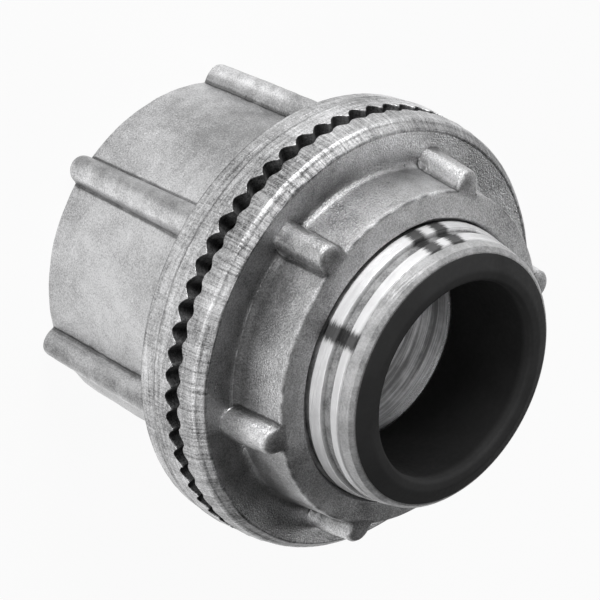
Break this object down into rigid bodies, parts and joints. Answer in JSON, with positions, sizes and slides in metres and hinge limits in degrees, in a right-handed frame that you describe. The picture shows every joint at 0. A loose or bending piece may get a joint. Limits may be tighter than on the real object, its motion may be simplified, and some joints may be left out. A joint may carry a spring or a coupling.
{
  "type": "watertight conduit hub",
  "caption": "Zinc die-cast watertight conduit hub: ribbed threaded socket, toothed flange with sealing ring, locknut on the nipple, insulated throat.",
  "frame": {"origin": "centre of the conduit end face, on the thread axis, where the hub stands", "axes": "+Z along the axis from the conduit socket to the insulated throat; +X through the middle of one socket rib"},
  "size_m": [0.0538, 0.0536, 0.0477],
  "materials": {
    "cast_zinc": "as-cast zinc alloy, fine grained matte grey, bright where turned",
    "black_rubber": "matte",
    "black_nylon": "satin"
  },
  "bodies": {
    "hub": {"hub_body": "cast_zinc", "sealing_ring": "black_rubber", "throat_liner": "black_nylon"},
    "nut": {"locknut": "cast_zinc"}
  },
  "joints": [
    {"name": "locknut_travel", "type": "slide", "parent": "hub", "child": "nut", "axis": [0, 0, 1], "range_m": [0, 0.02]}
  ]
}
